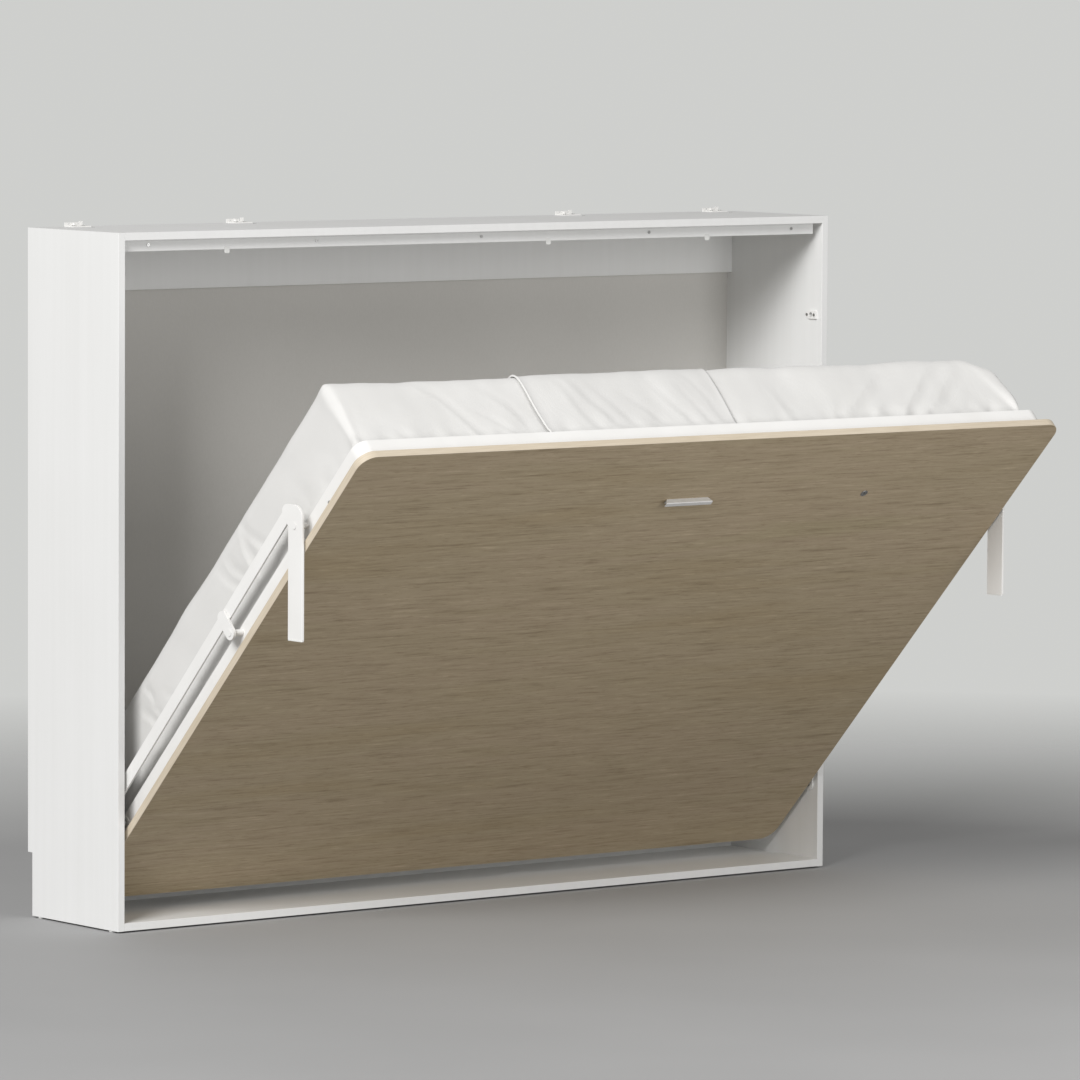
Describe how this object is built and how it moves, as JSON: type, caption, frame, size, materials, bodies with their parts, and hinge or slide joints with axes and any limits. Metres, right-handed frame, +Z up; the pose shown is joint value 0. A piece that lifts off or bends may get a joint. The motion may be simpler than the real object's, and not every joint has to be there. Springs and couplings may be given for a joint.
{
  "type": "horizontal folding wall bed",
  "caption": "Low white cabinet with a double bed that swings down sideways behind an oak door panel, on self-levelling legs and gas struts.",
  "frame": {"origin": "on the floor under the middle of the cabinet", "axes": "+X along the cabinet, +Y back to the wall, +Z up"},
  "size_m": [2.1, 1.2695, 1.6155],
  "materials": {
    "white_board": "white melamine board, satin",
    "back_sheet": "thin warm grey laminated hardboard",
    "oak_veneer": "grey-brown oak grain running along the bed, matt",
    "edge_band": "pale birch-coloured edge band",
    "slat_wood": "laminated beech slats",
    "white_steel": "white powder coat",
    "zinc_steel": "zinc plated",
    "black_steel": "black lacquer",
    "satin_metal": "satin nickel",
    "lock_chrome": "chromed lock",
    "plastic": "white moulded plastic",
    "bed_sheet": "white cotton fitted sheet over a foam mattress",
    "bedding_band": "white cotton band round the bedding"
  },
  "bodies": {
    "cabinet": {"left_side_panel": "white_board", "right_side_panel": "white_board", "top_panel": "white_board", "bottom_panel": "white_board", "top_back_rail": "white_board", "bottom_back_rail": "white_board", "skirting_cap_strip": "white_board", "upper_back_panel": "back_sheet", "lower_back_panel": "back_sheet", "stop_rail": "white_board", "stop_rail_screws": "zinc_steel", "stop_bumpers": "plastic", "wall_brackets": "white_steel", "hinge_plate_left": "white_steel", "hinge_plate_right": "white_steel", "main_pins": "zinc_steel", "link_anchor_pins": "white_steel", "strike_plates": "white_steel", "strut_top_brackets": "white_steel", "cabinet_screws": "zinc_steel", "top_hole_caps": "zinc_steel", "base_glides": "plastic"},
    "bed": {"door_panel": "oak_veneer", "door_edge_band": "edge_band", "pull_handle": "satin_metal", "pull_handle_screws": "zinc_steel", "frame_side_rail_left": "white_steel", "frame_side_rail_right": "white_steel", "frame_top_rail": "white_steel", "frame_bottom_rail": "white_steel", "frame_corner_elbows": "white_steel", "centre_beam": "white_steel", "slats": "slat_wood", "slat_holders": "plastic", "mattress": "bed_sheet", "bedding_band": "bedding_band", "main_bushes": "plastic", "pivot_bolts": "white_steel", "strut_lower_brackets": "white_steel", "panel_clips": "zinc_steel", "lock_housing": "lock_chrome", "rod_guides": "plastic"},
    "leg_left": {"leg_left": "white_steel", "foot_pad_left": "plastic"},
    "idler_left": {"idler_crank_left": "white_steel"},
    "link_left": {"link_bar_left": "white_steel"},
    "strut_cylinder_left": {"strut_cylinder_left": "black_steel"},
    "strut_rod_left": {"strut_rod_left": "zinc_steel"},
    "bolt_left": {"latch_rod_left": "zinc_steel"},
    "leg_right": {"leg_right": "white_steel", "foot_pad_right": "plastic"},
    "idler_right": {"idler_crank_right": "white_steel"},
    "link_right": {"link_bar_right": "white_steel"},
    "strut_cylinder_right": {"strut_cylinder_right": "black_steel"},
    "strut_rod_right": {"strut_rod_right": "zinc_steel"},
    "bolt_right": {"latch_rod_right": "zinc_steel"},
    "lock": {"lock_barrel": "lock_chrome"}
  },
  "joints": [
    {"name": "bed_fold", "type": "hinge", "parent": "cabinet", "child": "bed", "pos_m": [0, -0.137, 0.2455], "axis": [1, 0, 0], "range_deg": [-44.4, 45.6], "stiffness_Nm_per_rad": 339, "springref_deg": -67.95},
    {"name": "leg_left_swing", "type": "hinge", "parent": "bed", "child": "leg_left", "pos_m": [-1.0265, -0.84106, 0.97876], "axis": [1, 0, 0], "range_deg": [-45.65, 44.45]},
    {"name": "idler_left_swing", "type": "hinge", "parent": "bed", "child": "idler_left", "pos_m": [-1.0265, -0.59449, 0.72196], "axis": [1, 0, 0], "range_deg": [-45.65, 44.45]},
    {"name": "link_left_swing", "type": "hinge", "parent": "cabinet", "child": "link_left", "pos_m": [-1.02, -0.106, 0.2765], "axis": [1, 0, 0], "range_deg": [-44.45, 45.65]},
    {"name": "strut_left_swing", "type": "hinge", "parent": "cabinet", "child": "strut_cylinder_left", "pos_m": [-1.012, 0.115, 0.504], "axis": [1, 0, 0], "range_deg": [-4.05, 4.15]},
    {"name": "strut_left_slide", "type": "slide", "parent": "strut_cylinder_left", "child": "strut_rod_left", "axis": [0, -0.4831, -0.8756], "range_m": [-0.0878, 0.0855]},
    {"name": "leg_right_swing", "type": "hinge", "parent": "bed", "child": "leg_right", "pos_m": [1.0265, -0.84106, 0.97876], "axis": [1, 0, 0], "range_deg": [-45.65, 44.45]},
    {"name": "idler_right_swing", "type": "hinge", "parent": "bed", "child": "idler_right", "pos_m": [1.0265, -0.59449, 0.72196], "axis": [1, 0, 0], "range_deg": [-45.65, 44.45]},
    {"name": "link_right_swing", "type": "hinge", "parent": "cabinet", "child": "link_right", "pos_m": [1.02, -0.106, 0.2765], "axis": [1, 0, 0], "range_deg": [-44.45, 45.65]},
    {"name": "strut_right_swing", "type": "hinge", "parent": "cabinet", "child": "strut_cylinder_right", "pos_m": [1.012, 0.115, 0.504], "axis": [1, 0, 0], "range_deg": [-4.05, 4.15]},
    {"name": "strut_right_slide", "type": "slide", "parent": "strut_cylinder_right", "child": "strut_rod_right", "axis": [0, -0.4831, -0.8756], "range_m": [-0.0878, 0.0855]},
    {"name": "lock_turn", "type": "hinge", "parent": "bed", "child": "lock", "pos_m": [0.537, -0.93568, 0.99248], "axis": [0, 0.7145, 0.6997], "range_deg": [0, 90]},
    {"name": "bolt_left_throw", "type": "slide", "parent": "bed", "child": "bolt_left", "axis": [-1, 0, 0], "range_m": [-0.0001, 0.0384]},
    {"name": "bolt_right_throw", "type": "slide", "parent": "bed", "child": "bolt_right", "axis": [1, 0, 0], "range_m": [-0.0001, 0.0384]}
  ],
  "couplings": [
    {"joint": "leg_left_swing", "follows": "bed_fold", "ratio": -1},
    {"joint": "idler_left_swing", "follows": "bed_fold", "ratio": -1},
    {"joint": "link_left_swing", "follows": "bed_fold", "ratio": 1},
    {"joint": "strut_left_swing", "follows": "bed_fold", "ratio": 0.09},
    {"joint": "strut_left_slide", "follows": "bed_fold", "m_per_rad": -0.11},
    {"joint": "leg_right_swing", "follows": "bed_fold", "ratio": -1},
    {"joint": "idler_right_swing", "follows": "bed_fold", "ratio": -1},
    {"joint": "link_right_swing", "follows": "bed_fold", "ratio": 1},
    {"joint": "strut_right_swing", "follows": "bed_fold", "ratio": 0.09},
    {"joint": "strut_right_slide", "follows": "bed_fold", "m_per_rad": -0.11},
    {"joint": "bolt_left_throw", "follows": "lock_turn", "m_per_rad": 0.024309},
    {"joint": "bolt_right_throw", "follows": "lock_turn", "m_per_rad": 0.024309}
  ]
}
